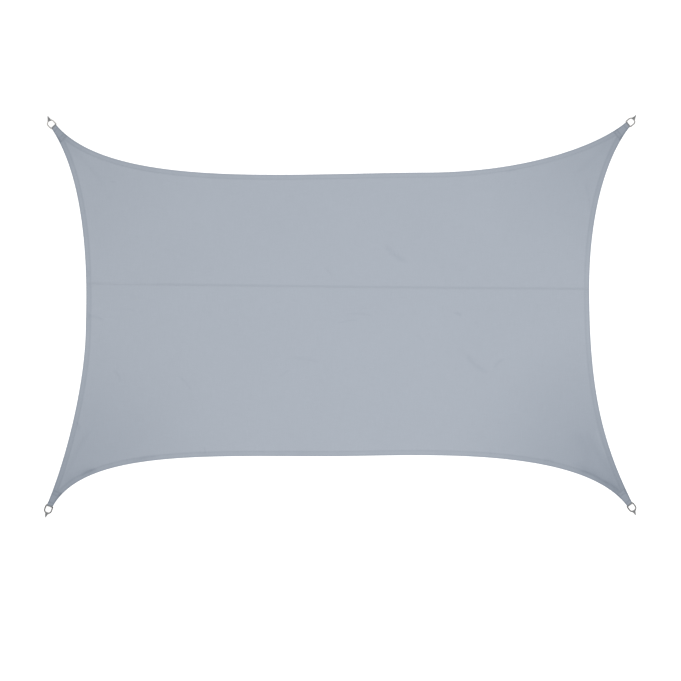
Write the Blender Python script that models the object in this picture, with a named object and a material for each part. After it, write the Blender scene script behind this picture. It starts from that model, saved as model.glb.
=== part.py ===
"""Shade sail, 3 m by 2 m over its rings, lying flat and face up on a level surface.

Two woven panels lap in one long seam that runs a little above the middle.  All four
edges are cut hollow and hemmed, and the hem is part of its panel.  A cloth tab folds
round the straight bar of a D-ring at each corner and takes the tip of the panel
between its legs.  A dark tapered tail is looped round the crown of each ring.

Units are metres, +Z is up, +X runs along the long side and +Y towards the edge that
is nearer to the seam.  The origin is under the middle of the whole, at floor level.
"""
import math
from collections import namedtuple

import bmesh
import bpy
import numpy as np
from mathutils import Vector
from mathutils.geometry import delaunay_2d_cdt

# ---------------------------------------------------------------- driving dimensions
GAP = 0.0003            # clear space between neighbouring pieces
CLOTH = 0.0012          # plain cloth of the panels
HEM = 0.0022            # cloth of the hem, which is folded over
HEM_WIDTH = 0.028       # from the outer fold to the stitched inner edge
HEM_STEP = 0.002        # run of the step down from the hem to the plain cloth
HEM_ROUND = 0.0009      # how far in the outer fold is rounded
LAP = 0.014             # width of the lap of the two panels in the seam
LAP_RAMP = 0.016        # run over which the upper panel comes down from the lap
LAP_MARGIN = 0.002      # past a panel's cut edge the other one is level this far
HEM_EASE = 0.030        # run over which the hems thin out towards the seam

TIP_HALF = 0.0145       # half the width of the cloth where it ends at the ring
PANEL_START = 0.008     # the panels end this far in from the end of the tab
TAB_CLOTH = 0.0012      # cloth of the corner tabs
TAB_INSET = 0.001       # the tab lies this far inside the edges of the panel
TAB_FOLD_HALF = 0.014   # half the width of the tab where it folds round the bar
TAB_WIDEN = 0.006       # run over which it widens from there to the panel's edges
TAB_BROW = 0.001        # run over which the fold eases down to the top leg
TAB_BROW_DROP = 0.0001  # and how far it has come down by then
TAB_TOP_LEG = 0.087     # length of the leg on the face side
TAB_LOW_LEG = 0.084     # length of the leg underneath
TIP_LIFT_END = 0.100    # the panel lies on the tab's lower leg up to here
TIP_LIFT_FADE = 0.090   # and is down on the floor this much further in
TIP_ZONE = 0.4          # what is nearer to a tip than this belongs to that tip

WIRE = 0.0025           # radius of the ring's wire
RING_HALF = 0.018       # half the width of the ring, centre line to centre line
RING_FOOT_HALF = 0.0176  # the same at the foot, by the straight bar
RING_FOOT_BEND = 0.004  # radius of the bends at the ends of the straight bar
RING_REACH = 0.0355     # from the end of the cloth to the centre line of the crown
FOLD_CLEAR = 0.00035    # clearance of the tab's fold round the bar
TAIL_CLEAR = 0.00045    # clearance of the tail's loop round the crown
TAIL_REACH = 0.024      # from the centre line of the crown to the tail's point
TAIL_SPREAD_DEG = 28.0  # the loop covers this much of the crown to either side
TAIL_TIP = 0.0024       # thickness of the tail at its point
TAIL_TIP_HALF = 0.0012  # half its width there
TAIL_TAPER = 0.8        # under 1 the tail thins quickly beside the ring

FOLD_RADIUS = WIRE + FOLD_CLEAR + TAB_CLOTH   # outer radius of the tab's fold
BAR_IN = FOLD_RADIUS    # the bar's centre line lies this far inside the cloth's end
RING_HEIGHT = FOLD_RADIUS   # the ring lies level at the height of its bar
RING_BOW = RING_REACH - RING_HALF   # centre of the round crown, outward of the cloth

# One row for each tip: the middle of its cut end, the way the ring points, and how
# far the tail is turned round the crown from there.
Tip = namedtuple("Tip", "x y axis_deg tail_turn_deg")
TIPS = {
    "top_left": Tip(-1.4701, 0.9756, 134.0, -20.0),
    "top_right": Tip(1.4744, 0.9866, 39.0, 14.0),
    "bottom_left": Tip(-1.4902, -0.9726, 249.0, 0.0),
    "bottom_right": Tip(1.4828, -0.9651, 306.7, -11.0),
}

# One row for each hollow edge.  The chord runs from the tip start to the tip end, and
# side says which side of each tip it meets.  The edge is deepest, by sag, at low_at
# along the chord.  It leaves and arrives at these angles to the chord, and the pulls
# are the lengths of the handles of its two curves, at the tips and beside low_at.
Edge = namedtuple("Edge", "start start_side end end_side low_at sag leave_deg "
                  "leave_pull pull_before pull_after arrive_deg arrive_pull")
EDGES = {
    "top": Edge("top_left", -1, "top_right", 1,
                1.900, 0.256, 50.5, 0.435, 0.720, 0.560, 41.0, 0.150),
    "bottom": Edge("bottom_left", 1, "bottom_right", -1,
                   1.420, 0.261, 62.0, 0.335, 0.645, 0.430, 53.5, 0.400),
    "left": Edge("top_left", 1, "bottom_left", -1,
                 1.020, 0.189, 34.5, 0.375, 0.120, 0.300, 22.5, 0.230),
    "right": Edge("top_right", -1, "bottom_right", 1,
                  0.850, 0.215, 40.0, 0.150, 0.460, 0.495, 26.0, 0.355),
}

SEAM_LEFT = 0.1735      # height of the seam above the middle at the left edge
SEAM_RIGHT = 0.1445     # and at the right edge
SEAM_HALF_SPAN = 1.300  # half the distance between these two places
SEAM_SAG = 0.003        # how far the seam hangs below the straight line between them

# One row for each soft fold that stands up from the floor: its ends, its height and
# its half width.
Fold = namedtuple("Fold", "x0 y0 x1 y1 height half_width")
FOLDS = {
    "upper crease": Fold(0.220, 0.362, 0.352, 0.266, 0.0030, 0.014),
    "right crease": Fold(0.642, -0.190, 0.764, -0.300, 0.0032, 0.015),
    "middle crease": Fold(0.010, 0.020, 0.190, -0.018, 0.0018, 0.012),
    "lower crease": Fold(-0.240, -0.206, -0.095, -0.238, 0.0018, 0.012),
    "top left gather": Fold(-1.385, 0.885, -1.180, 0.640, 0.0022, 0.016),
    "top right gather": Fold(1.385, 0.905, 1.170, 0.700, 0.0022, 0.016),
    "bottom left gather": Fold(-1.415, -0.835, -1.265, -0.560, 0.0030, 0.018),
    "bottom left hem pucker": Fold(-1.330, -0.795, -1.180, -0.742, 0.0022, 0.014),
    "bottom right gather": Fold(1.405, -0.840, 1.240, -0.560, 0.0030, 0.018),
    "bottom right hem pucker": Fold(1.330, -0.795, 1.165, -0.745, 0.0028, 0.014),
}
# Rows of points beside the seam, counted from it: on a panel's own cut edge, just
# past the other panel's, and down the ramp from there.
SEAM_ROWS = (-0.5 * LAP, 0.5 * LAP + LAP_MARGIN, 0.5 * (LAP + LAP_RAMP) + LAP_MARGIN,
             0.5 * LAP + LAP_RAMP + LAP_MARGIN)
FOLD_ROWS = (-2.0, -1.0, 0.0, 1.0, 2.0)   # rows of points, in half widths off the crest
FOLD_STATIONS = 6       # points along each row

EDGE_STATIONS = {"top": 24, "bottom": 24, "left": 17, "right": 17}  # on each half edge
FINE_STEPS = 400        # spaces on each half of an edge where it is measured
GRID = 0.105            # spacing of the points inside the panels
GRID_COLUMNS = np.arange(-14, 14)
GRID_LINES = np.arange(-10, 11)
SEAM_STATIONS = np.arange(-11, 12) * GRID
GRID_CLEAR = 0.030      # the grid stays this far from the seam and the folds
HEM_CLEAR = 0.010       # and all inner points stay this far from the hem
RING_CLEAR = 0.006      # points on a line stay this far from its own corners
SEAM_CLEAR = 0.050      # folds stay this far from the seam
TIP_SEARCH = np.linspace(0.02, 0.20, 721)   # where a line's two sides may meet
TAB_LEG_STATIONS = (0.015, 0.028, 0.046, 0.066)
WIRE_CROWN_STEPS = 18   # points round the half circle of the crown
WIRE_BEND_STEPS = 4     # points round each bend of the foot
FOLD_STEPS = 10         # facets round the tab's fold
TAB_LANES = 4           # strips across the tab
TAIL_SECTIONS = 8       # sections of the tail along the crown

COLOURS = {             # base colour, roughness, metallic
    "cloth": ((0.40, 0.45, 0.51, 1.0), 0.85, 0.0),
    "tab": ((0.29, 0.32, 0.36, 1.0), 0.85, 0.0),
    "steel": ((0.62, 0.62, 0.60, 1.0), 0.32, 1.0),
    "tail": ((0.16, 0.16, 0.16, 1.0), 0.75, 0.0),
}


# --------------------------------------------------------------------- small helpers
def smooth(value):
    """Ease from 0 to 1 as value goes from 0 to 1, flat at both ends."""
    v = np.clip(value, 0.0, 1.0)
    return v * v * (3.0 - 2.0 * v)


def material(name):
    """The material of one kind of piece, made once."""
    found = bpy.data.materials.get(name)
    if found:
        return found
    colour, roughness, metallic = COLOURS[name]
    made = bpy.data.materials.new(name)
    made.use_nodes = True
    shader = made.node_tree.nodes["Principled BSDF"]
    shader.inputs["Base Color"].default_value = colour
    shader.inputs["Roughness"].default_value = roughness
    shader.inputs["Metallic"].default_value = metallic
    return made


def add_object(name, data, kind):
    """Link one object for one piece, with its material."""
    data.materials.append(material(kind))
    piece = bpy.data.objects.new(name, data)
    bpy.context.scene.collection.objects.link(piece)
    return piece


def solid_mesh(name, points, faces):
    """A closed mesh with its faces turned outward and shaded smooth."""
    mesh = bpy.data.meshes.new(name)
    mesh.from_pydata([tuple(map(float, p)) for p in points], [], faces)
    work = bmesh.new()
    work.from_mesh(mesh)
    bmesh.ops.triangulate(work, faces=work.faces[:])
    bmesh.ops.recalc_face_normals(work, faces=work.faces[:])
    work.to_mesh(mesh)
    work.free()
    mesh.shade_smooth()
    mesh.set_sharp_from_angle(angle=math.radians(35.0))
    return mesh


# ------------------------------------------------------------------ tips of the sail
def tip_frame(tip):
    """Middle of a tip's end, the way out along its ring, and the way to its left."""
    turn = math.radians(tip.axis_deg)
    out = np.array([math.cos(turn), math.sin(turn)])
    left = np.array([-out[1], out[0]])
    return np.array([tip.x, tip.y]), out, left


def inward_of(points, tip):
    """How far points lie inward of a tip's end, along its axis."""
    middle, out, _ = tip_frame(tip)
    return (middle - points) @ out


# --------------------------------------------------------------------- hollow edges
def cubic(p, t):
    """Points at t on the cubic curve of the four control points p."""
    t = t[:, None]
    s = 1.0 - t
    return s**3 * p[0] + 3 * s * s * t * p[1] + 3 * s * t * t * p[2] + t**3 * p[3]


def edge_line(edge, steps):
    """The points of one edge, with 2 * steps spaces between them."""
    ends = []
    for tip_name, side in ((edge.start, edge.start_side), (edge.end, edge.end_side)):
        middle, _, left = tip_frame(TIPS[tip_name])
        ends.append(middle + side * TIP_HALF * left)
    chord = np.linalg.norm(ends[1] - ends[0])
    along = (ends[1] - ends[0]) / chord
    across = np.array([-along[1], along[0]])
    across *= -np.sign(across @ (ends[0] + ends[1]))
    leave, arrive = math.radians(edge.leave_deg), math.radians(edge.arrive_deg)
    first = np.array([[0.0, 0.0],
                      [edge.leave_pull * math.cos(leave), edge.leave_pull * math.sin(leave)],
                      [edge.low_at - edge.pull_before, edge.sag],
                      [edge.low_at, edge.sag]])
    last = np.array([[edge.low_at, edge.sag],
                     [edge.low_at + edge.pull_after, edge.sag],
                     [chord - edge.arrive_pull * math.cos(arrive),
                      edge.arrive_pull * math.sin(arrive)],
                     [chord, 0.0]])
    t = np.linspace(0.0, 1.0, steps + 1)
    local = np.vstack([cubic(first, t), cubic(last, t)[1:]])
    return ends[0] + local[:, :1] * along + local[:, 1:] * across


def moved_in(line, distance):
    """A line set in from an edge by a distance, towards the middle of the sail."""
    if distance == 0.0:
        return line
    run = np.gradient(line, axis=0)
    run /= np.linalg.norm(run, axis=1)[:, None]
    normal = np.stack([-run[:, 1], run[:, 0]], axis=1)
    normal *= -np.sign((normal * line).sum(axis=1).mean())
    return line + distance * normal


FINE_EDGES = {name: edge_line(edge, FINE_STEPS) for name, edge in EDGES.items()}


def edge_distance(points):
    """Distance of each point from the nearest of the four edges."""
    edges = np.vstack(list(FINE_EDGES.values()))
    gaps = np.linalg.norm(points[:, None, :] - edges[None, :, :], axis=2)
    return gaps.min(axis=1)


def well_inside(points, clear):
    """Which points lie inside the four edges, and further than clear from each."""
    x, y = points.T
    across = {name: FINE_EDGES[name] for name in ("top", "bottom")}
    upright = {name: FINE_EDGES[name][::-1] for name in ("left", "right")}
    inside = y < np.interp(x, *across["top"].T)
    inside &= y > np.interp(x, *across["bottom"].T)
    inside &= x > np.interp(y, upright["left"][:, 1], upright["left"][:, 0])
    inside &= x < np.interp(y, upright["right"][:, 1], upright["right"][:, 0])
    return inside & (edge_distance(points) > clear)


def side_at(tip_name, side, inward, distance=0.0):
    """Where the line on one side of a tip lies, to the tip's left, this far inward.

    The line is the edge itself, or the one that is set in from it by a distance.
    """
    tip = TIPS[tip_name]
    middle, _, left = tip_frame(tip)
    for name, edge in EDGES.items():
        line = moved_in(FINE_EDGES[name], distance)
        if (edge.start, edge.start_side) == (tip_name, side):
            near = line[:FINE_STEPS // 2]
        elif (edge.end, edge.end_side) == (tip_name, side):
            near = line[:-FINE_STEPS // 2:-1]
        else:
            continue
        return np.interp(inward, inward_of(near, tip), (near - middle) @ left)
    raise ValueError("no edge meets that side of the tip")


# ------------------------------------------------------------------- seam and relief
def seam_height(x):
    """Y of the middle of the seam at x."""
    part = x / SEAM_HALF_SPAN
    straight = 0.5 * (SEAM_LEFT + SEAM_RIGHT) + 0.5 * (SEAM_RIGHT - SEAM_LEFT) * part
    return straight - SEAM_SAG * (1.0 - part * part)


def fold_height(points):
    """Height of the soft folds over the floor at each point."""
    height = np.zeros(len(points))
    for fold in FOLDS.values():
        start, end = np.array([fold.x0, fold.y0]), np.array([fold.x1, fold.y1])
        length = np.linalg.norm(end - start)
        along = (end - start) / length
        across = np.array([-along[1], along[0]])
        part = ((points - start) @ along) / length
        off = ((points - start) @ across) / fold.half_width
        ends = smooth(4.0 * part) * smooth(4.0 * (1.0 - part))
        height += fold.height * ends * np.exp(-off * off)
    return height


def tip_lift(points):
    """How high the tabs' lower legs carry the panel at each point."""
    carried = np.zeros(len(points))
    for tip in TIPS.values():
        inward = inward_of(points, tip)
        fade = 1.0 - smooth((inward - TIP_LIFT_END) / TIP_LIFT_FADE)
        near = np.hypot(points[:, 0] - tip.x, points[:, 1] - tip.y) < TIP_ZONE
        carried = np.maximum(carried, np.where(near, fade, 0.0))
    return carried * (TAB_CLOTH + GAP)


def lap_lift(points):
    """How high the lower panel carries the upper one along the seam."""
    above = points[:, 1] - seam_height(points[:, 0]) - 0.5 * LAP
    return (CLOTH + GAP) * (1.0 - smooth((above - LAP_MARGIN) / LAP_RAMP))


def hem_share(points):
    """1 where the hem keeps its full thickness, 0 where it is thinned at the seam."""
    off = np.abs(points[:, 1] - seam_height(points[:, 0])) - 0.5 * LAP
    return smooth(off / HEM_EASE)


# --------------------------------------------------------------------------- panels
def tip_corners(tip_name, distance):
    """The corners at a tip of the line this far in from the panel's edges.

    There are two where the line runs across the cut end of the panel, and one where
    the lines of its two sides meet further in.
    """
    middle, out, left = tip_frame(TIPS[tip_name])
    if distance < 0.5 * TIP_HALF:
        inward = PANEL_START + distance
        sides = [(inward, side_at(tip_name, side, inward, distance)) for side in (-1, 1)]
    else:
        width = (side_at(tip_name, 1, TIP_SEARCH, distance)
                 - side_at(tip_name, -1, TIP_SEARCH, distance))
        inward = TIP_SEARCH[np.argmax(width > 0.0)]
        sides = [(inward, side_at(tip_name, 1, inward, distance))]
    return np.array([middle - inward * out + off * left for inward, off in sides])


def between(name, distance, sign, tips):
    """The points of one line this far in from an edge, clear of its two ends."""
    line = moved_in(edge_line(EDGES[name], EDGE_STATIONS[name]), distance)
    cut = seam_height(line[:, 0]) - sign * 0.5 * LAP
    keep = sign * (line[:, 1] - cut) > SEAM_ROWS[-1] - SEAM_ROWS[0] + HEM_CLEAR
    for tip_name in tips:
        tip = TIPS[tip_name]
        near = np.hypot(line[:, 0] - tip.x, line[:, 1] - tip.y) < TIP_ZONE
        start = inward_of(tip_corners(tip_name, distance), tip).max() + RING_CLEAR
        keep &= ~near | (inward_of(line, tip) > start)
    return line[keep]


def seam_ends(distance, sign):
    """Where the lines this far in from the left and right edges cross the lap.

    Each is a row of points that starts on the panel's own cut edge in the lap.
    """
    ends = []
    for name in ("left", "right"):
        line = moved_in(FINE_EDGES[name], distance)
        above = sign * (line[:, 1] - seam_height(line[:, 0]))
        x = line[np.argmin(np.abs(above)), 0]
        ends.append(np.array([(x, seam_height(x) + sign * off) for off in SEAM_ROWS]))
    return ends


def panel_ring(distance, sign):
    """One line round a panel, this far in from its edges, from seam end to seam end.

    sign is +1 for the upper panel and -1 for the lower one.
    """
    start, end = seam_ends(distance, sign)
    tips = ("top_left", "top_right") if sign > 0 else ("bottom_left", "bottom_right")
    first, second = (tip_corners(tip_name, distance)[::-sign] for tip_name in tips)
    left = between("left", distance, sign, tips[:1])[::-sign]
    middle = between("top" if sign > 0 else "bottom", distance, sign, tips)
    right = between("right", distance, sign, tips[1:])[::sign]
    return np.vstack([start, left, first, middle, second, right, end[::-1]])


def inner_points(sign):
    """Points of the plain cloth of a panel: an even grid, and rows along each fold."""
    grid = np.array([((column + 0.5 * (line % 2)) * GRID, line * GRID)
                     for line in GRID_LINES for column in GRID_COLUMNS])
    folds, clear = [], np.ones(len(grid), bool)
    for fold in FOLDS.values():
        start, end = np.array([fold.x0, fold.y0]), np.array([fold.x1, fold.y1])
        along = end - start
        across = np.array([-along[1], along[0]]) / np.linalg.norm(along)
        for share in np.linspace(0.0, 1.0, FOLD_STATIONS):
            for off in FOLD_ROWS:
                folds.append(start + share * along + off * fold.half_width * across)
        part = np.clip(((grid - start) @ along) / (along @ along), 0.0, 1.0)
        away = np.linalg.norm(grid - start - part[:, None] * along, axis=1)
        clear &= away > 2.0 * fold.half_width + GRID_CLEAR
    above_seam = sign * (grid[:, 1] - seam_height(grid[:, 0]))
    clear &= above_seam > 0.5 * LAP + 2.0 * GRID_CLEAR
    points = np.vstack([grid[clear], folds])
    points = points[sign * (points[:, 1] - seam_height(points[:, 0])) > SEAM_CLEAR]
    return points[well_inside(points, HEM_WIDTH + HEM_STEP + HEM_CLEAR)]


def panel(name, sign):
    """One panel with its hem, as a closed sheet: sign +1 is the upper one."""
    rings = [panel_ring(d, sign) for d in
             (0.0, HEM_ROUND, HEM_WIDTH - HEM_STEP, HEM_WIDTH)]
    hem = [1.0, 1.0, 1.0, 0.0]
    spots, share, seams = [], [], []
    for ring, thick in zip(rings, hem):
        seams.append((len(spots), len(spots) + len(ring)))
        spots += list(ring)
        share += [thick] * len(ring)
    # Rows along the seam join the open ends of the lines; the first is the cut edge.
    rows_across = []
    for k, off in enumerate(SEAM_ROWS):
        row = [(x, seam_height(x) + sign * off) for x in SEAM_STATIONS]
        rows_across.append([first + k for first, _ in seams]
                           + list(range(len(spots), len(spots) + len(row)))
                           + [last - 1 - k for _, last in reversed(seams)])
        spots += row
        share += [0.0] * len(row)
    inside = inner_points(sign)
    spots += list(inside)
    share += [0.0] * len(inside)
    spots = np.array(spots)

    lines = [(i, i + 1) for first, last in seams for i in range(first, last - 1)]
    for row in rows_across:
        lines += list(zip(row[:-1], row[1:]))
    found = delaunay_2d_cdt([Vector(map(float, p)) for p in spots], lines, [], 1, 1e-7)
    flat, faces, origin = found[0], found[2], found[3]
    rows = [sources[0] for sources in origin]
    flat = np.array([tuple(v) for v in flat])

    rim = {i for i in range(seams[0][0] + 1, seams[0][1] - 1)}
    thick = CLOTH + (HEM - CLOTH) * np.array(share)[rows] * hem_share(flat)
    low = np.maximum(tip_lift(flat), fold_height(flat))
    if sign > 0:
        low = np.maximum(low, lap_lift(flat))
    points, under = [], {}
    for i, (x, y) in enumerate(flat):
        on_rim = rows[i] in rim
        points.append((x, y, low[i] + (0.5 if on_rim else 1.0) * thick[i]))
    for i, (x, y) in enumerate(flat):
        if rows[i] in rim:
            under[i] = i
        else:
            under[i] = len(points)
            points.append((x, y, low[i]))
    tops = [tuple(face) for face in faces]
    bottoms = [tuple(under[i] for i in reversed(face)) for face in faces]
    index = {row: i for i, row in enumerate(rows)}
    border = list(range(*seams[0])) + rows_across[0][::-1]
    walls = []
    for a, b in zip(border, border[1:] + border[:1]):
        a, b = index[a], index[b]
        wall = tuple(dict.fromkeys([a, b, under[b], under[a]]))
        if len(wall) > 2:
            walls.append(wall)
    mesh = solid_mesh(name, points, tops + bottoms + walls)
    return add_object(name, mesh, "cloth")


# ----------------------------------------------------------------------- corner tabs
def tab_profile():
    """Stations of a tab from its lower leg round the bar to its top leg.

    Each is (inward, height) on the outer face and (inward, height) on the inner one.
    """
    inner = FOLD_RADIUS - TAB_CLOTH
    top_inner = TAB_CLOTH + GAP + HEM + GAP
    stations = [((s, 0.0), (s, TAB_CLOTH))
                for s in (TAB_LOW_LEG,) + TAB_LEG_STATIONS[::-1]]
    for step in range(FOLD_STEPS + 1):
        turn = math.radians(-90.0 + 180.0 * step / FOLD_STEPS)
        reach = (math.cos(turn), math.sin(turn))
        stations.append(tuple((BAR_IN - r * reach[0], RING_HEIGHT + r * reach[1])
                              for r in (FOLD_RADIUS, inner)))
    brow, drop = BAR_IN + TAB_BROW, TAB_BROW_DROP
    stations.append(((brow, RING_HEIGHT + FOLD_RADIUS - drop),
                     (brow, RING_HEIGHT + inner - drop)))
    stations += [((s, top_inner + TAB_CLOTH), (s, top_inner))
                 for s in TAB_LEG_STATIONS + (TAB_TOP_LEG,)]
    return stations


def tab(tip_name):
    """The cloth tab of one corner, folded round the ring's bar."""
    middle, out, left = tip_frame(TIPS[tip_name])
    points = []
    stations = tab_profile()
    for station in stations:
        for inward, height in station:
            ease = smooth((inward - PANEL_START) / TAB_WIDEN)
            sides = [side * ((1.0 - ease) * TAB_FOLD_HALF
                             + ease * (side * side_at(tip_name, side, inward) - TAB_INSET))
                     for side in (-1, 1)]
            for lane in np.linspace(0.0, 1.0, TAB_LANES + 1):
                off = sides[0] + lane * (sides[1] - sides[0])
                spot = middle - inward * out + off * left
                points.append((spot[0], spot[1], height))
    wide = TAB_LANES + 1

    def at(station, face, lane):
        return (2 * station + face) * wide + lane

    faces = []
    last = len(stations) - 1
    for k in range(last):
        for lane in range(TAB_LANES):
            faces.append((at(k, 0, lane), at(k, 0, lane + 1),
                          at(k + 1, 0, lane + 1), at(k + 1, 0, lane)))
            faces.append((at(k, 1, lane + 1), at(k, 1, lane),
                          at(k + 1, 1, lane), at(k + 1, 1, lane + 1)))
        faces.append((at(k, 0, 0), at(k + 1, 0, 0), at(k + 1, 1, 0), at(k, 1, 0)))
        faces.append((at(k, 0, TAB_LANES), at(k, 1, TAB_LANES),
                      at(k + 1, 1, TAB_LANES), at(k + 1, 0, TAB_LANES)))
    for k in (0, last):
        for lane in range(TAB_LANES):
            faces.append((at(k, 0, lane), at(k, 0, lane + 1),
                          at(k, 1, lane + 1), at(k, 1, lane)))
    return add_object("tab_" + tip_name, solid_mesh("tab_" + tip_name, points, faces), "tab")


# ------------------------------------------------------------------- rings and tails
def ring_curve():
    """The D-ring's wire: +X points out of the cloth, the origin is at its bow."""
    foot = -RING_BOW - BAR_IN
    bend_y, bend_x = RING_FOOT_HALF - RING_FOOT_BEND, foot + RING_FOOT_BEND
    line = []
    for step in range(WIRE_CROWN_STEPS + 1):
        turn = math.radians(-90.0 + 180.0 * step / WIRE_CROWN_STEPS)
        line.append((RING_HALF * math.cos(turn), RING_HALF * math.sin(turn)))
    line.append((0.5 * bend_x, 0.5 * (RING_HALF + RING_FOOT_HALF)))
    for side in (1, -1):
        bend = []
        for step in range(WIRE_BEND_STEPS + 1):
            turn = math.radians(90.0 + 90.0 * step / WIRE_BEND_STEPS)
            bend.append((bend_x + RING_FOOT_BEND * math.cos(turn),
                         side * (bend_y + RING_FOOT_BEND * math.sin(turn))))
        line += bend[::side]
    line.append((0.5 * bend_x, -0.5 * (RING_HALF + RING_FOOT_HALF)))
    curve = bpy.data.curves.new("ring_wire", "CURVE")
    curve.dimensions = "3D"
    curve.bevel_depth = WIRE
    curve.bevel_resolution = 2
    spline = curve.splines.new("POLY")
    spline.points.add(len(line) - 1)
    for point, (x, y) in zip(spline.points, line):
        point.co = (x, y, 0.0, 1.0)
    spline.use_cyclic_u = True
    return curve


def tail_mesh():
    """A tapered tail looped round the crown; the origin is at the ring's bow."""
    loop = WIRE + TAIL_CLEAR
    sleeve = RING_HEIGHT
    # Angle round the wire on the loop's inside, and either the same angle on the
    # outside or the share of the way out to the point, over (1) or under (0) it.
    profile = [(90, None, 1), (120, None, 1), (150, None, 1), (180, None, 0),
               (210, None, 0), (240, None, 0), (270, None, 0),
               (300, 0.35, 0), (325, 0.75, 0), (348, 1.0, 0),
               (12, 1.0, 1), (35, 0.75, 1), (60, 0.35, 1)]
    points = []
    for section in range(TAIL_SECTIONS):
        part = 2.0 * section / (TAIL_SECTIONS - 1) - 1.0
        turn = math.radians(TAIL_SPREAD_DEG * part)
        radial = Vector((math.cos(turn), math.sin(turn), 0.0))
        wire = RING_HALF * radial + Vector((0.0, 0.0, sleeve))
        point = Vector((RING_HALF + TAIL_REACH, TAIL_TIP_HALF * part, 0.0))
        for angle, share, over in profile:
            a = math.radians(angle)
            spoke = math.cos(a) * radial + Vector((0.0, 0.0, math.sin(a)))
            if share is None:
                outer = wire + sleeve * spoke
            else:
                ease = share ** TAIL_TAPER
                outer = (1.0 - ease) * wire + ease * point
                full = 2.0 * sleeve
                outer.z = over * (full + (TAIL_TIP - full) * ease)
            points += [outer, wire + loop * spoke]
    count = len(profile)

    def at(section, k, inside):
        return 2 * (section * count + k % count) + inside

    faces = []
    for section in range(TAIL_SECTIONS - 1):
        for k in range(count):
            for inside in (0, 1):
                faces.append((at(section, k, inside), at(section, k + 1, inside),
                              at(section + 1, k + 1, inside), at(section + 1, k, inside)))
    for section in (0, TAIL_SECTIONS - 1):
        for k in range(count):
            faces.append((at(section, k, 0), at(section, k + 1, 0),
                          at(section, k + 1, 1), at(section, k, 1)))
    return solid_mesh("tail", points, faces)


def corner_hardware():
    """A ring and a tail at each tip, each turned to its own direction."""
    wire, tail = ring_curve(), tail_mesh()
    wire.materials.append(material("steel"))
    tail.materials.append(material("tail"))
    for tip_name, tip in TIPS.items():
        middle, out, _ = tip_frame(tip)
        bow = middle + RING_BOW * out
        for kind, data, height, turn in (("ring_", wire, RING_HEIGHT, 0.0),
                                         ("tail_", tail, 0.0, tip.tail_turn_deg)):
            piece = bpy.data.objects.new(kind + tip_name, data)
            bpy.context.scene.collection.objects.link(piece)
            piece.location = (bow[0], bow[1], height)
            piece.rotation_euler.z = math.radians(tip.axis_deg + turn)


# ------------------------------------------------------------------------- the whole
def centre_whole():
    """Hang all pieces on an empty and move it so that the whole is centred."""
    bpy.context.view_layer.update()
    graph = bpy.context.evaluated_depsgraph_get()
    pieces = [o for o in bpy.context.scene.objects if o.type in ("MESH", "CURVE")]
    spots = []
    for piece in pieces:
        mesh = piece.evaluated_get(graph).to_mesh()
        spots += [piece.matrix_world @ vertex.co for vertex in mesh.vertices]
    spots = np.array(spots)
    middle = 0.5 * (spots.min(axis=0) + spots.max(axis=0))
    centre = bpy.data.objects.new("sail_centre", None)
    bpy.context.scene.collection.objects.link(centre)
    for piece in pieces:
        piece.parent = centre
    centre.location = (-middle[0], -middle[1], 0.0)


def main():
    for old in list(bpy.data.objects):
        bpy.data.objects.remove(old, do_unlink=True)
    panel("panel_upper", 1)
    panel("panel_lower", -1)
    for tip_name in TIPS:
        tab(tip_name)
    corner_hardware()
    centre_whole()


main()
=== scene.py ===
"""Looks of the shade sail: fine cloth with hems, seam and stitches, rings and tails.

All is in metres. The sail lies face up on the floor at z = 0, with +X along its long sides
and +Y towards the photograph's upper edge. The tables of the outline are the part's own,
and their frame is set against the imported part's, so each piece lies where its solid lies.
"""

import math
from collections import namedtuple

import bmesh
import bpy
import numpy as np
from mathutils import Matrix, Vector
from mathutils.geometry import delaunay_2d_cdt
from mathutils.kdtree import KDTree


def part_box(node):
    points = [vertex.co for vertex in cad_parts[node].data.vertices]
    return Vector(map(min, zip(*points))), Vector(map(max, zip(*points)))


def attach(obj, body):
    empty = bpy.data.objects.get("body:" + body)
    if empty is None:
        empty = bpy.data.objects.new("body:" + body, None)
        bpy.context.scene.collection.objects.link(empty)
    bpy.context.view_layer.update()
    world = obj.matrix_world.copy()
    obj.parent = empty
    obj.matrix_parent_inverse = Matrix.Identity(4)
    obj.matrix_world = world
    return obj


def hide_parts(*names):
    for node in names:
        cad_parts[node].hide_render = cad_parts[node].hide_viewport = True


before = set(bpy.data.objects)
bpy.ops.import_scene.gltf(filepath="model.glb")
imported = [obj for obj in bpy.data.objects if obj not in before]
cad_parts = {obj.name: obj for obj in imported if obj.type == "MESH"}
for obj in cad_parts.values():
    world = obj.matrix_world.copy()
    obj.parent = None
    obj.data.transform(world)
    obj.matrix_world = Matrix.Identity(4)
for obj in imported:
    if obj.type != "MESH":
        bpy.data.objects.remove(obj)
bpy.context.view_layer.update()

# ---- the photograph's framing
PHOTO_SIDE = 681  # pixels
PIXEL = 0.00512  # metres of the sail to a pixel
ORIGIN_PX = (340.24, 316.28)  # where the part's origin is seen
LENS = 100.0  # millimetres
SENSOR = 36.0

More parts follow.
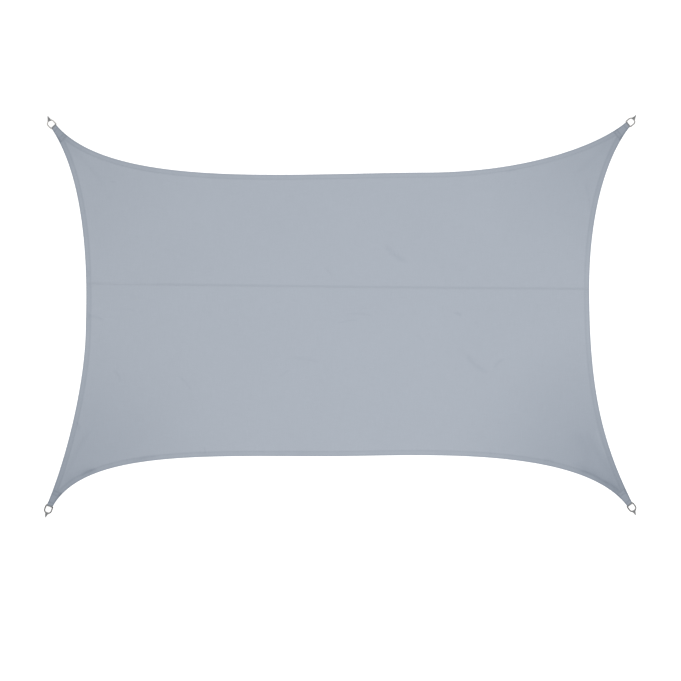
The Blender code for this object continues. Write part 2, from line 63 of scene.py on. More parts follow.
# ---- outline, as the part's
HEM_WIDTH = 0.028
LAP = 0.014
LAP_RAMP = 0.016
HEM_EASE = 0.030
TIP_HALF = 0.0145
PANEL_START = 0.008
TAB_INSET = 0.001
TAB_FOLD_HALF = 0.014
TAB_WIDEN = 0.006
TAB_TOP_LEG = 0.087
TAB_LOW_LEG = 0.084
TIP_LIFT_END = 0.100
TIP_LIFT_FADE = 0.090
TIP_ZONE = 0.4
WIRE = 0.0025
RING_HALF = 0.018
RING_FOOT_HALF = 0.0176
RING_FOOT_BEND = 0.004
RING_REACH = 0.0355
RING_HEIGHT = 0.00405  # of the wire's centre line over the floor
BAR_IN = RING_HEIGHT  # the bar lies this far inside the end of the cloth
RING_BOW = RING_REACH - RING_HALF
TAIL_REACH = 0.024
TAIL_SPREAD = 28.0  # degrees to either side
TAIL_TIP_HALF = 0.0012

# Each tip's x and y, and the degrees of its ring's axis and of its tail's turn from that.
TIPS = {
    "top_left": (-1.4701, 0.9756, 134.0, -20.0),
    "top_right": (1.4744, 0.9866, 39.0, 14.0),
    "bottom_left": (-1.4902, -0.9726, 249.0, 0.0),
    "bottom_right": (1.4828, -0.9651, 306.7, -11.0),
}

Edge = namedtuple("Edge", "start start_side end end_side low_at sag leave_deg "
                  "leave_pull pull_before pull_after arrive_deg arrive_pull")
EDGES = {
    "top": Edge("top_left", -1, "top_right", 1,
                1.9, 0.256, 50.5, 0.435, 0.72, 0.56, 41.0, 0.15),
    "bottom": Edge("bottom_left", 1, "bottom_right", -1,
                   1.42, 0.261, 62.0, 0.335, 0.645, 0.43, 53.5, 0.4),
    "left": Edge("top_left", 1, "bottom_left", -1,
                 1.02, 0.189, 34.5, 0.375, 0.12, 0.3, 22.5, 0.23),
    "right": Edge("top_right", -1, "bottom_right", 1,
                  0.85, 0.215, 40.0, 0.15, 0.46, 0.495, 26.0, 0.355),
}

# The panel above the seam and the one below it.
LEVELS = {1: "upper", -1: "lower"}
LONG_EDGES = {1: "top", -1: "bottom"}
SEAM_LEFT = 0.1735
SEAM_RIGHT = 0.1445
SEAM_HALF_SPAN = 1.300
SEAM_SAG = 0.003

# ---- cloth as it is seen
CLOTH = 0.0007  # plain cloth
HEM = 0.0017  # three layers at the hem
HEM_ROUND = 0.0008  # how far in the outer fold is rounded
HEM_TENT = 0.030  # run over which the plain cloth comes down to the floor
STITCH_IN = 0.0225  # the hem's stitch line, from the outer fold
GROOVE = 0.0004  # how deep a stitch line is drawn in
GROOVE_HALF = 0.0016
LAP_THICK = 0.0010  # the upper panel's folded edge in the seam
LAP_ROUND = 0.0024  # how far in its fold is rounded
LAP_CLEAR = 0.0001  # between the two panels in the seam
SEAM_STITCHES = (-0.0040, 0.0022)  # the two stitch lines, up from the seam's middle
SEAM_STITCH_IN = 0.004  # how far inside the side edges they begin
HEM_STITCH_FROM = {1: -0.4, -1: 0.5}  # where a hem's stitches begin, in laps off the seam
TAB_CLOTH = 0.0009
TAB_CLEAR = 0.0002  # between the tab's legs and the panel
TAB_SHOULDER = 0.015  # run over which its top leg comes down behind the bar
TAB_ROWS = (0.0205, 0.0245, 0.065, 0.084)  # rows of stitches, in from the end
TAB_ROW_INSET = 0.003  # of the tab's stitches from its own edges
TAB_LOW = 0.5 * TAB_CLOTH  # heights of the middle of its two legs
TAB_TOP = TAB_CLOTH + TAB_CLEAR + HEM + TAB_CLEAR + TAB_LOW
LEG_CLEAR = 0.001  # between a strap's turn round the wire and its legs
TAIL_CLOTH = 0.0011
TAIL_FALL = 1.35  # how early the top of a tail comes down to its point
Strap = namedtuple("Strap", "name cloth edge_round centre low_leg top_leg low_count top_count")
STRAPS = {
    "tab": Strap("corner_tab_", TAB_CLOTH, 0.05, BAR_IN, TAB_LOW_LEG, TAB_TOP_LEG, 34, 44),
    "tail": Strap("webbing_tail_", TAIL_CLOTH, 0.08, 0.0, TAIL_REACH, TAIL_REACH, 16, 22),
}

# Soft folds: the part's own, drawn finer, and smaller ones. The shade is the painted shade
# along them, how much darker the cloth's colour is made there; below 0 it is painted light.
Fold = namedtuple("Fold", "x0 y0 x1 y1 height half_width shade")
FOLDS = [Fold(*row) for row in (
    # the creases of the plain cloth
    (0.35, 0.262, 0.216, 0.374, 0.003, 0.016, 0.047),
    (0.756, -0.3, 0.632, -0.186, 0.0032, 0.016, 0.049),
    (0.01, 0.016, 0.188, 0.004, 0.0014, 0.006, 0.02),
    (-0.24, -0.206, -0.095, -0.238, 0.0018, 0.01, 0.025),
    # the gathers at the four tips
    (-1.385, 0.885, -1.18, 0.64, 0.0022, 0.016, 0.02),
    (1.385, 0.905, 1.17, 0.7, 0.0022, 0.016, 0.02),
    (-1.415, -0.835, -1.265, -0.56, 0.003, 0.018, 0.03),
    (-1.33, -0.795, -1.18, -0.742, 0.0022, 0.014, 0.01),
    (1.405, -0.84, 1.24, -0.56, 0.003, 0.018, 0.03),
    (1.33, -0.795, 1.165, -0.745, 0.0028, 0.014, 0.01),
    # short marks in the middle and on the right
    (0.58, 0.022, 0.622, 0.001, 0.0016, 0.009, 0.065),
    (-0.024, -0.034, 0.098, -0.016, 0.0012, 0.006, 0.03),
    (-0.312, -0.304, -0.25, -0.272, 0.0012, 0.008, 0.025),
    (0.776, -0.264, 0.84, -0.214, 0.0012, 0.01, 0.042),
    (0.385, -0.086, 0.428, -0.132, 0.001, 0.009, 0.025),
    (-0.088, 0.258, -0.038, 0.204, 0.001, 0.008, 0.03),
    # on the left, and in the left hem
    (-0.838, -0.288, -0.752, -0.384, 0.0014, 0.01, 0.03),
    (-1.158, -0.264, -1.118, -0.338, 0.0014, 0.01, 0.035),
    (-1.3, 0.008, -1.205, -0.016, 0.0018, 0.008, 0.05),
    (-1.29, 0.03, -1.291, -0.026, 0.001, 0.01, 0.07),
    (-1.29, 0.242, -1.291, 0.196, 0.001, 0.009, 0.06),
    # inside the right hem, by the seam's left end, and under the top hem
    (1.252, 0.704, 1.28, 0.52, 0.001, 0.01, 0.035),
    (-1.145, 0.037, -1.035, 0.032, 0.001, 0.009, 0.02),
    (0.84, 0.738, 0.91, 0.75, 0.0012, 0.008, 0.05),
    (-1.18, 0.692, -1.14, 0.68, 0.0012, 0.007, 0.04),
    # across the bottom hem
    (-0.698, -0.664, -0.694, -0.704, 0.0012, 0.006, 0.05),
    (0.762, -0.672, 0.768, -0.712, 0.0012, 0.005, 0.04),
    (0.782, -0.674, 0.789, -0.714, 0.001, 0.005, 0.03),
    # along the hems beside the two lower tips
    (-1.346, -0.535, -1.336, -0.59, 0.0016, 0.007, 0.07),
    (-1.338, -0.818, -1.236, -0.776, 0.002, 0.013, 0.13),
    (-1.075, -0.741, -0.925, -0.711, 0.0014, 0.01, 0.06),
    (1.215, -0.778, 1.345, -0.84, 0.002, 0.013, 0.11),
    (1.315, -0.826, 1.44, -0.898, 0.0018, 0.013, 0.08),
    (1.035, -0.728, 1.098, -0.746, 0.0014, 0.008, 0.06),
    (1.366, -0.735, 1.304, -0.56, 0.0014, 0.008, -0.045),
    # their pleats
    (1.345, -0.838, 1.372, -0.868, 0.0016, 0.005, 0.05),
    (1.388, -0.872, 1.412, -0.905, 0.0016, 0.005, 0.05),
    (-1.268, -0.776, -1.29, -0.806, 0.0014, 0.006, 0.05),
    # broad painted shade there, without a height
    (-1.43, -0.86, -1.25, -0.775, 0.0, 0.03, 0.055),
    (1.17, -0.73, 1.48, -0.925, 0.0, 0.03, 0.045),
    (1.205, -0.56, 1.262, -0.8, 0.0, 0.05, 0.035),
)]
CREST = 0.55  # the share of a fold's height that is in its narrow crest
CREST_NARROW = 2.3  # how much narrower the crest is than the whole fold
CREST_SHADE = 0.35  # the share of its painted shade that is in the crest
FOLD_SHADE_NARROW = 1.2
FOLD_END = 0.25  # the share of its length over which either end rises
FOLD_BOW = 0.42  # how far a fold bends to the side, in half widths
FOLD_BOW_PHASES = (2.0, 7.0)  # radians, at its start and its end
FOLD_EXTENT = 4.0  # half widths to either side, past which it isn't felt
# Wide low waves over the whole sail: length, direction in degrees, phase and height.
WAVES = ((0.83, 62.0, 0.4, 0.0009), (0.57, 118.0, 2.1, 0.0007), (0.36, 21.0, 4.4, 0.0004),
         (0.29, 96.0, 1.3, 0.0003), (0.21, 147.0, 5.2, 0.0002))
WAVE_LEAST = 0.3  # how far along their rise the waves are at the edges
WAVE_REACH = 0.25  # the run of the whole rise
PUCKER = 0.0013  # height of the hems' puckers
PUCKER_LENGTHS = (0.0255, 0.041, 0.067)
PUCKER_SKEW = 45.0  # radians of phase for each metre across the hem
PUCKER_WANDER = 1.7  # radians by which the longest of them shifts the shortest
PUCKER_TIP_REACH = 0.55  # they are stronger this near to an edge's end
# Where they stand, in distances of the stitch line, how wide, and how strong.
PUCKER_BANDS = ((0.8, 0.011, 1.0), (1.5, 0.014, 0.35))
UNEVEN_LENGTHS = (0.41, 0.173, 0.097)  # along a hem, of its lighter and darker stretches

# ---- how much darker the cloth's colour is made: the hem's own layers, and painted shade
HEM_TONE = 0.050  # over the three layers of the hem
HEM_TONE_EASE = 0.002
HEM_DRIFT = 0.3  # how unevenly
# Its strength at four places along each edge, from its start to its end.
HEM_SHARES_AT = (0.2, 0.4, 0.6, 0.8)
HEM_SHARES = {"top": (1.05, 0.90, 0.45, 0.60), "bottom": (1.10, 1.15, 0.80, 0.95),
              "left": (1.35, 1.10, 0.95, 1.20), "right": (1.30, 0.65, 0.60, 0.75)}
EDGE_PAINTED_SHADE = 0.090  # painted shade beside its outer fold, where the rounded fold turns down
EDGE_TONE_IN = 0.0034
EDGE_TONE_TIP = 0.055  # more painted shade beside the tips
EDGE_TONE_REACH = 0.45
STITCH_PAINTED_SHADE = 0.020  # painted shade beside its stitch line, in the groove the thread draws
STITCH_TONE_HALF = 0.0035
STITCH_DRIFT = 0.6
SEAM_TONE = 0.050  # along the seam's middle: the lap's double cloth and painted shade
SEAM_TONE_AT = -0.001
SEAM_TONE_HALF = 0.0036
SEAM_FADE = 1.4  # the seam is faint near its left end, where its tone turns to painted light
SEAM_FADE_AT = -1.10
SEAM_FADE_HALF = 0.15
# The cloth's colour is made darker towards a tip, over a long reach and over a short one:
# painted shade. A tab's tone is its folded layers with painted shade, and the rings, which
# mirror different parts of the room, get tones that are painted reflections.
Corner = namedtuple("Corner", "reach share near_reach near_share tab ring")
CORNERS = {
    "top_left": Corner(0.89, 0.045, 0.26, 0.115, 0.81, 1.90),
    "top_right": Corner(0.89, 0.100, 0.26, 0.090, 0.80, 1.10),
    "bottom_left": Corner(1.05, 0.145, 0.26, 0.095, 0.75, 0.30),
    "bottom_right": Corner(1.05, 0.195, 0.36, 0.105, 0.77, 0.30),
}
SHADE_POWERS = (1.10, 1.0, 0.88)  # the darker its tone, painted shade included, the bluer the cloth's colour
TAB_FOLD_PAINTED_SHADE = 0.24  # painted shade, a little browner, where a tab is folded round the bar
TAB_FOLD_TINT = (1.0, 0.92, 0.82)
TAB_FOLD_RUN = 0.009
TAB_ROW_TONE = 0.09  # darker along the rows of stitches across it
TAB_ROW_HALF = 0.0025
TAB_BOX_TONE = 0.10  # darker in the stitched box, but for its two diagonals
TAB_CROSS_LIGHT = 1.6
TAB_CROSS_HALF = 0.22
TAB_EDGE_TONE = 0.27  # and darker towards its two edges
TAB_EDGE_FROM = 0.66
TAB_EDGE_RUN = 0.25

# ---- materials and the stage
CLOTH_COLOUR = (0.2715, 0.298, 0.339)
THREADS = {"thread": 0.82, "tab_thread": 0.60}  # their shades of the cloth's colour
TAIL_COLOUR = (0.155, 0.157, 0.160)
STEEL_COLOUR = (0.196, 0.189, 0.181)
FLOOR_COLOUR = (0.93, 0.93, 0.93)
# A weave's pitch and depth, and the gloss of its cloth.
Weave = namedtuple("Weave", "colour pitch depth roughness sheen")
WEAVES = {
    "sail_cloth": Weave(CLOTH_COLOUR, 0.0011, 0.00010, 0.78, 0.15),
    "tab_cloth": Weave(CLOTH_COLOUR, 0.0011, 0.00010, 0.80, 0.12),
    "tail_webbing": Weave(TAIL_COLOUR, 0.0016, 0.00025, 0.75, 0.05),
}
# Noise over each metre of the cloth, and how much of its colour each kind moves.
SLUB_LENGTHS, MOTTLES, PATCHES, WRINKLES = 14.0, 3.1, 17.0, 28.0
SLUB_SHARE, CHECK_SHARE, MOTTLE_SHARE, PATCH_SHARE = 0.10, 0.04, 0.034, 0.030
WRINKLE_DEPTH = 0.0009
WIRE_MARKS, WIRE_PATCHES = 2600.0, 160.0
THREAD_TWIST = 5200.0
FLOOR_HALF = 30.0
WORLD = 0.867  # strength of the pale surroundings
LIGHT_AT = (0.31, -0.20, 4.0)
LIGHT_SIZE = (5.0, 4.0)
LIGHT_POWER = 140.0

# ---- fineness
FINE_STEPS = 400  # spaces on each half of an edge where it is measured
# Where a panel's lines of points run: in from its edges, and off the seam's middle.
RINGS = np.array([0, 0.25, 0.8, 2, 5, 9, 13, 17, 20, 21.4, 22.5, 23.6, 25, 27.8, 28.2, 30,
                  33, 38, 46, 58]) / 1000.0
SEAM_LINES = np.array([-7, -6.7, -6.2, -5.4, -4.5, -3.6, -2.4, 0, 2.4, 3.5, 4.6, 6, 7.6,
                       10, 14, 19, 25]) / 1000.0
RING_SPACING = 0.0050
SEAM_SPACING = 0.0090
GRID = 0.0130
FOLD_SPACING = 0.007
FOLD_ROWS = np.linspace(-2.4, 2.4, 13)
# Places across a strap from -1 to 1, closer together at its two edges.
HALF_LANES = [1.0, 0.992, 0.972, 0.94, 0.88, 0.75, 0.55, 0.3]
LANES = [-part for part in HALF_LANES] + [0.0] + HALF_LANES[::-1]
STRAP_TURNS = 25  # stations round the wire
STRAP_END = 0.35  # how thick a strap is at its two ends, against the rest
TAB_REACHES = np.linspace(-0.005, 0.10, 106)  # where the sides of a tab are found
TIP_SEARCH = np.linspace(0.0, 0.20, 801)
WIRE_SIDES = 24
WIRE_SPACING = 0.0011
STITCH = 0.0040  # from one stitch to the next
STITCH_SHARE = 0.80  # the part of it that the thread covers
THREAD = 0.00030  # half the thread's width
THREAD_OVER = 0.4  # how far its middle stands over the face, in such halves
THREAD_UNDER = 0.2  # and below the underside
BEAD_SECTIONS = ((-0.30, 0.85), (0.0, 1.0), (0.30, 0.85))  # share along, share of width
BEAD_SIDES = 5
BEAD_TURN = 0.25  # of a side, by which the thread is turned


# ---- small helpers
def smooth(value):
    """Ease from 0 to 1 as value goes from 0 to 1, flat at both ends."""
    v = np.clip(value, 0.0, 1.0)
    return v * v * (3.0 - 2.0 * v)


def bell(value):
    """1 at 0, soft on both sides."""
    return np.exp(-np.square(value))


def unit(rows):
    return rows / np.linalg.norm(rows, axis=1)[:, None]


def way(degrees):
    """The x and y, 1 away, at an angle."""
    turn = np.radians(degrees)
    return np.stack([np.cos(turn), np.sin(turn)], axis=-1)


def turned(ways):
    """The same ways, turned a quarter to the left."""
    return np.stack([-ways[..., 1], ways[..., 0]], axis=-1)


def columns(*parts):
    """Points from their coordinates. A single number holds for all."""
    return np.column_stack(np.broadcast_arrays(*parts))


def tube_faces(starts, sides):
    """The faces between loops of points, each of which begins at one of the starts."""
    return [(here + side, here + (side + 1) % sides, there + (side + 1) % sides, there + side)
            for here, there in zip(starts, starts[1:]) for side in range(sides)]


def placed_object(name, data):
    """A new object in the scene."""
    made = bpy.data.objects.new(name, data)
    bpy.context.scene.collection.objects.link(made)
    return made


def make_piece(name, points, faces, material, node=None, values=None):
    """A mesh that rides on the part, with its values kept at its points.

    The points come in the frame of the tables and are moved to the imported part's. All faces
    are turned outward, and points without one are dropped.
    """
    points = np.array(points, float)
    points[:, :2] += SHIFT
    mesh = bpy.data.meshes.new(name)
    mesh.from_pydata(points.tolist(), [], faces)
    mesh.validate()
    for key, numbers in (values or {}).items():
        numbers = np.array(numbers, np.float32)
        kind, field = ("FLOAT_VECTOR", "vector") if numbers.ndim == 2 else ("FLOAT", "value")
        mesh.attributes.new(key, kind, "POINT").data.foreach_set(field, numbers.ravel())
    work = bmesh.new()
    work.from_mesh(mesh)
    bmesh.ops.recalc_face_normals(work, faces=work.faces)
    loose = [point for point in work.verts if not point.link_faces]
    bmesh.ops.delete(work, geom=loose, context="VERTS")
    work.to_mesh(mesh)
    work.free()
    mesh.shade_smooth()
    mesh.materials.append(material)
    piece = placed_object(name, mesh)
    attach(piece, "root")
    if node:
        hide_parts(node)
    return piece


# ---- tips and edges
def tip_frame(tip):
    """Middle of a tip's end, the way out along its ring, and the way to its left."""
    x, y, axis_deg, _ = TIPS[tip]
    out = way(axis_deg)
    return np.array([x, y]), out, turned(out)


def inward_of(points, tip):
    """How far points lie inward of a tip's end, along its axis."""
    middle, out, _ = tip_frame(tip)
    return (middle - points) @ out


def gap_to(points, tip):
    return np.hypot(*(points - tip_frame(tip)[0]).T)


def clear_of(points, tip, start):
    """Whether points lie further inward than start, or at another tip."""
    return (gap_to(points, tip) >= TIP_ZONE) | (inward_of(points, tip) > start)


def cubic(p, t):
    """Points at t on the cubic curve of the four control points p."""
    t = t[:, None]
    s = 1.0 - t
    return s**3 * p[0] + 3 * s * s * t * p[1] + 3 * s * t * t * p[2] + t**3 * p[3]


def edge_line(edge):
    """The points of one hollow edge, with FINE_STEPS spaces on each half."""
    start, end = (tip_frame(tip)[0] + side * TIP_HALF * tip_frame(tip)[2]
                  for tip, side in (edge[:2], edge[2:4]))
    chord = np.linalg.norm(end - start)
    along = (end - start) / chord
    across = turned(along)
    across *= -np.sign(across @ (start + end))
    low = np.array([edge.low_at, edge.sag])
    leave = edge.leave_pull * way(edge.leave_deg)
    arrive = edge.arrive_pull * way(180.0 - edge.arrive_deg)
    first = (0.0 * low, leave, low - (edge.pull_before, 0.0), low)
    last = (low, low + (edge.pull_after, 0.0), arrive + (chord, 0.0), np.array([chord, 0.0]))
    t = np.linspace(0.0, 1.0, FINE_STEPS + 1)
    local = np.vstack([cubic(first, t), cubic(last, t)[1:]])
    return start + local[:, :1] * along + local[:, 1:] * across


def inward_normals(line):
    """Unit normals of an edge's line that point to the middle of the sail."""
    normal = turned(unit(np.gradient(line, axis=0)))
    return normal * -np.sign((normal * line).sum(axis=1).mean())


def edge_in(name, inset):
    """The line this far in from an edge."""
    return FINE_EDGES[name] + inset * inward_normals(FINE_EDGES[name])


def length_along(line):
    """How far each point lies along a line."""
    return np.append(0.0, np.cumsum(np.linalg.norm(np.diff(line, axis=0), axis=1)))


def points_at(line, at):
    """The points that lie this far along a line."""
    far = length_along(line)
    return columns(*(np.interp(at, far, column) for column in line.T))


def resampled(line, spacing):
    """The same line with evenly spaced points."""
    whole = length_along(line)[-1]
    return points_at(line, np.linspace(0.0, whole, max(2, round(whole / spacing) + 1)))


# Each edge's line, and the edge on each side of each tip with its points from there on.
FINE_EDGES, SIDES = {}, {}
for edge_name, edge in EDGES.items():
    FINE_EDGES[edge_name] = edge_line(edge)
    SIDES[edge[:2]] = edge_name, slice(FINE_STEPS // 2)
    SIDES[edge[2:4]] = edge_name, slice(None, -FINE_STEPS // 2, -1)


def sides_at(tip, inward, inset=0.0):
    """How far to a tip's left the lines this far in from its two edges lie."""
    middle, _, left = tip_frame(tip)
    found = []
    for side in (-1, 1):
        name, part = SIDES[tip, side]
        near = edge_in(name, inset)[part]
        found.append(np.interp(inward, inward_of(near, tip), (near - middle) @ left))
    return found


def tip_corners(tip, inset):
    """The corners at a tip of the line this far in from the panel's edges.

    There are two along the panel's cut end, or one where the two sides meet further in.
    """
    middle, out, left = tip_frame(tip)
    start = PANEL_START + inset
    low, high = sides_at(tip, start, inset)
    corners = [(start, low), (start, high)]
    if high - low <= 0.1 * TIP_HALF:
        reach = start + TIP_SEARCH
        low, high = sides_at(tip, reach, inset)
        first = np.argmax(high > low)
        corners = [(reach[first], high[first])]
    return np.array([middle - inward * out + off * left for inward, off in corners])


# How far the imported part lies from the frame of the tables.
SHIFT = np.array(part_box("panel_lower")[0][:2]) - np.vstack(
    [tip_corners(name, 0.0) for name in ("bottom_left", "bottom_right")]).min(axis=0)


def edge_kit():
    """The points of all edges: places, runs, normals, lengths along, whole lengths and
    strengths of the hem, and a tree of the places."""
    rows = []
    for name, line in FINE_EDGES.items():
        far = length_along(line)
        rows.append((line, unit(np.gradient(line, axis=0)), inward_normals(line), far,
                     np.full(len(line), far[-1]),
                     np.interp(far / far[-1], HEM_SHARES_AT, HEM_SHARES[name])))
    spots, *others = (np.concatenate(column) for column in zip(*rows))
    tree = KDTree(len(spots))
    for i, (x, y) in enumerate(spots):
        tree.insert((x, y, 0.0), i)
    tree.balance()
    return spots, *others, tree


SPOTS, RUNS, NORMALS, FAR, WHOLE, SHARES, TREE = edge_kit()


def from_edges(points):
    """The edges' point nearest to each point, the way from there, and how far in it is."""
    nearest = np.array([TREE.find((x, y, 0.0))[1] for x, y in points])
    off = points - SPOTS[nearest]
    return nearest, off, (off * NORMALS[nearest]).sum(axis=1)


# ---- seam and relief
def seam_height(x):
    """Y of the middle of the seam at x."""
    part = x / SEAM_HALF_SPAN
    straight = 0.5 * (SEAM_LEFT + SEAM_RIGHT) + 0.5 * (SEAM_RIGHT - SEAM_LEFT) * part
    return straight - SEAM_SAG * (1.0 - part * part)


def over_seam(points):
    return points[:, 1] - seam_height(points[:, 0])


def seam_line(x, off):
    """Points at x of the line this far above the seam's middle."""
    return columns(x, seam_height(x) + off)


def fold_frame(fold):
    """A fold's start, its length, and the ways along and across it."""
    start = np.array([fold.x0, fold.y0])
    span = np.array([fold.x1, fold.y1]) - start
    length = np.linalg.norm(span)
    along = span / length
    return start, length, along, turned(along)


def fold_relief(points):
    """Height of the soft folds at each point, and the painted shade that darkens the cloth's colour
    along them.
    """
    height, shade = np.zeros(len(points)), np.zeros(len(points))
    for fold in FOLDS:
        start, length, along, across = fold_frame(fold)
        far = (points - start) @ along
        off = (points - start) @ across / fold.half_width
        near = np.flatnonzero((far > 0.0) & (far < length) & (np.abs(off) < FOLD_EXTENT))
        share = far[near] / length
        off = off[near] + FOLD_BOW * np.sin(np.interp(share, (0.0, 1.0), FOLD_BOW_PHASES))
        ends = smooth(share / FOLD_END) * smooth((1.0 - share) / FOLD_END)
        crest, broad = bell(CREST_NARROW * off), bell(FOLD_SHADE_NARROW * off)
        height[near] += fold.height * ends * (CREST * crest + (1.0 - CREST) * bell(off))
        shade[near] += fold.shade * ends * (CREST_SHADE * crest + (1.0 - CREST_SHADE) * broad)
    return height, shade


def tip_nearness(points):
    """1 on and beside the corner tabs, 0 further in."""
    return 1.0 - np.min([np.where(gap_to(points, tip) < TIP_ZONE, smooth(
        (inward_of(points, tip) - TIP_LIFT_END) / TIP_LIFT_FADE), 1.0)
        for tip in TIPS], axis=0)


def wave_height(points):
    """Height of the wide low waves, which never go below the floor."""
    return sum(0.5 * height * (1.0 + np.sin(
        math.tau * (points @ way(direction_deg)) / length + phase))
        for length, direction_deg, phase, height in WAVES)


def unevenness(along):
    """From -1 to 1, drifting along a hem."""
    return sum(np.sin(math.tau * along / length + 1.3 * k)
               for k, length in enumerate(UNEVEN_LENGTHS)) / len(UNEVEN_LENGTHS)


def pucker_height(at):
    """Height of the small puckers that the stitch line draws into the hem."""
    short, middle, long = (math.tau * at.along / length for length in PUCKER_LENGTHS)
    skew = PUCKER_SKEW * at.away
    ripple = 0.5 + 0.3 * np.sin(short + PUCKER_WANDER * np.sin(long) + skew) \
        + 0.2 * np.sin(middle - skew)
    by_tip = 1.0 - smooth(at.to_end / PUCKER_TIP_REACH)
    strength = 0.5 + 0.4 * unevenness(at.along) + 0.5 * by_tip
    across = sum(share * bell((at.away - place * STITCH_IN) / half)
                 for place, half, share in PUCKER_BANDS)
    return PUCKER * strength * np.square(ripple) * across


# ---- panels
Placed = namedtuple("Placed", "points sign away along to_end hem_share above nearness hem_there")


def placed(points, sign):
    """Where points of a panel lie against its edges, its seam and its tips."""
    nearest, off, inward = from_edges(points)
    along = FAR[nearest] + (off * RUNS[nearest]).sum(axis=1)
    above = sign * over_seam(points)
    return Placed(points, sign, np.abs(inward), along,
                  np.minimum(along, WHOLE[nearest] - along), SHARES[nearest], above,
                  tip_nearness(points), smooth((above - 0.5 * LAP) / HEM_EASE))


def between(name, inset, sign, tips):
    """The points of the line this far in from an edge, clear of its two ends."""
    line = resampled(edge_in(name, inset), RING_SPACING)
    keep = sign * over_seam(line) > SEAM_LINES[-1] + 0.8 * RING_SPACING
    for tip in tips:
        start = inward_of(tip_corners(tip, inset), tip).max()
        keep &= clear_of(line, tip, start + 0.4 * RING_SPACING)
    return line[keep]


def crossing(name, inset, off):
    """The x where the line this far in from an edge lies this far above the seam."""
    line = edge_in(name, inset)
    order = np.argsort(over_seam(line))
    return np.interp(off, over_seam(line)[order], line[order, 0])


def panel_ring(inset, sign):
    """One line round a panel, this far in from its edges, from seam end to seam end."""
    off = sign * SEAM_LINES
    start, end = (seam_line(crossing(name, inset, off), off) for name in ("left", "right"))
    tips = [LONG_EDGES[sign] + side for side in ("_left", "_right")]
    first, second = (tip_corners(tip, inset)[::-sign] for tip in tips)
    left = between("left", inset, sign, tips[:1])[::-sign]
    middle = between(LONG_EDGES[sign], inset, sign, tips)
    right = between("right", inset, sign, tips[1:])[::sign]
    return np.vstack([start, left, first, middle, second, right, end[::-1]])


def inner_points(sign):
    """Points of the plain cloth: an even grid, and closer rows along each fold."""
    low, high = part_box("panel_" + LEVELS[sign])
    xs = np.arange(low.x, high.x, GRID)
    ys = np.arange(low.y, high.y, GRID)
    grid = np.array([(x + 0.5 * GRID * (row % 2), y) for row, y in enumerate(ys) for x in xs])
    folds, clear = [], np.ones(len(grid), bool)
    for fold in FOLDS:
        if not fold.height:
            continue
        start, length, along, across = fold_frame(fold)
        for far in np.linspace(-0.1, 1.1, max(6, round(length / FOLD_SPACING))) * length:
            folds += [start + far * along + off * fold.half_width * across for off in FOLD_ROWS]
        part = np.clip((grid - start) @ along, 0.0, length)
        beside = np.linalg.norm(grid - start - part[:, None] * along, axis=1)
        clear &= beside > FOLD_ROWS[-1] * fold.half_width + 0.5 * GRID
    points = np.vstack([grid[clear], folds])
    points = points[sign * over_seam(points) > SEAM_LINES[-1] + 0.6 * GRID]
    return points[from_edges(points)[2] > RINGS[-1] + 0.6 * GRID]


def panel_plan(sign):
    """A panel's flat points, its faces, and its border in order."""
    spots, spans = [], []
    for inset in RINGS:
        first = len(spots)
        spots += list(panel_ring(inset, sign))
        spans.append((first, len(spots)))
    inmost = spots[spans[-1][0]][0] + SEAM_SPACING, spots[spans[-1][1] - 1][0] - SEAM_SPACING
    xs = np.linspace(*inmost, round((inmost[1] - inmost[0]) / SEAM_SPACING))
    lines = [(i, i + 1) for first, last in spans for i in range(first, last - 1)]
    rows = []
    for k, off in enumerate(SEAM_LINES):
        rows.append([first + k for first, _ in spans]
                    + list(range(len(spots), len(spots) + len(xs)))
                    + [last - 1 - k for _, last in reversed(spans)])
        spots += list(seam_line(xs, sign * off))
        lines += list(zip(rows[-1][:-1], rows[-1][1:]))
    spots = np.vstack([spots, inner_points(sign)])
    found = delaunay_2d_cdt([Vector(map(float, p)) for p in spots], lines, [], 1, 1e-8)
    flat = np.array([tuple(v) for v in found[0]])
    faces = [tuple(face) for face in found[2]]
    place = {sources[0]: i for i, sources in enumerate(found[3]) if sources}
    border = list(range(*spans[0])) + rows[0][::-1]
    return flat, faces, list(dict.fromkeys(place[i] for i in border if i in place))


def thickness(at):
    """Thickness of a panel: plain cloth, its hem, and the folded edge on top of the seam."""
    thick = np.where(at.away < HEM_WIDTH, CLOTH + (HEM - CLOTH) * at.hem_there, CLOTH)
    if at.sign > 0:
        in_lap = 1.0 - smooth((at.above - 0.3 * LAP) / (0.3 * LAP))
        thick = np.maximum(thick, CLOTH + (LAP_THICK - CLOTH) * in_lap)
    return thick


def lift(at, folds):
    """How far a panel's underside lies over the floor.

    The hem is turned under, so beside it the plain cloth comes down to the floor.
    """
    free = 1.0 - at.nearness
    low = np.maximum(at.nearness * (TAB_CLOTH + TAB_CLEAR), folds)
    low += free * smooth(at.away / WAVE_REACH + WAVE_LEAST) * wave_height(at.points)
    low += free * at.hem_there * pucker_height(at)
    tent = (HEM - CLOTH) * at.hem_there * (1.0 - smooth((at.away - HEM_WIDTH) / HEM_TENT))
    low += np.where(at.away < HEM_WIDTH, 0.0, tent)
    if at.sign > 0:
        low += (1.0 - smooth((at.above - 0.5 * LAP) / LAP_RAMP)) * (CLOTH + LAP_CLEAR)
    return low


def seam_fade(points):
    """How much fainter the seam is near its left end."""
    return SEAM_FADE * bell((points[:, 0] - SEAM_FADE_AT) / SEAM_FADE_HALF)


def stitch_grooves(at):
    """How deep the stitch lines are drawn into a panel's face and its underside."""
    hem = bell((at.away - STITCH_IN) / GROOVE_HALF) * at.hem_there * (1.0 - at.nearness)
    both, flat = hem, np.maximum(1.0 - seam_fade(at.points), 0.0)
    for off in SEAM_STITCHES:
        both = np.maximum(both, flat * bell((at.sign * at.above - off) / GROOVE_HALF))
    return (GROOVE * both, GROOVE * hem) if at.sign > 0 else (GROOVE * hem, GROOVE * both)


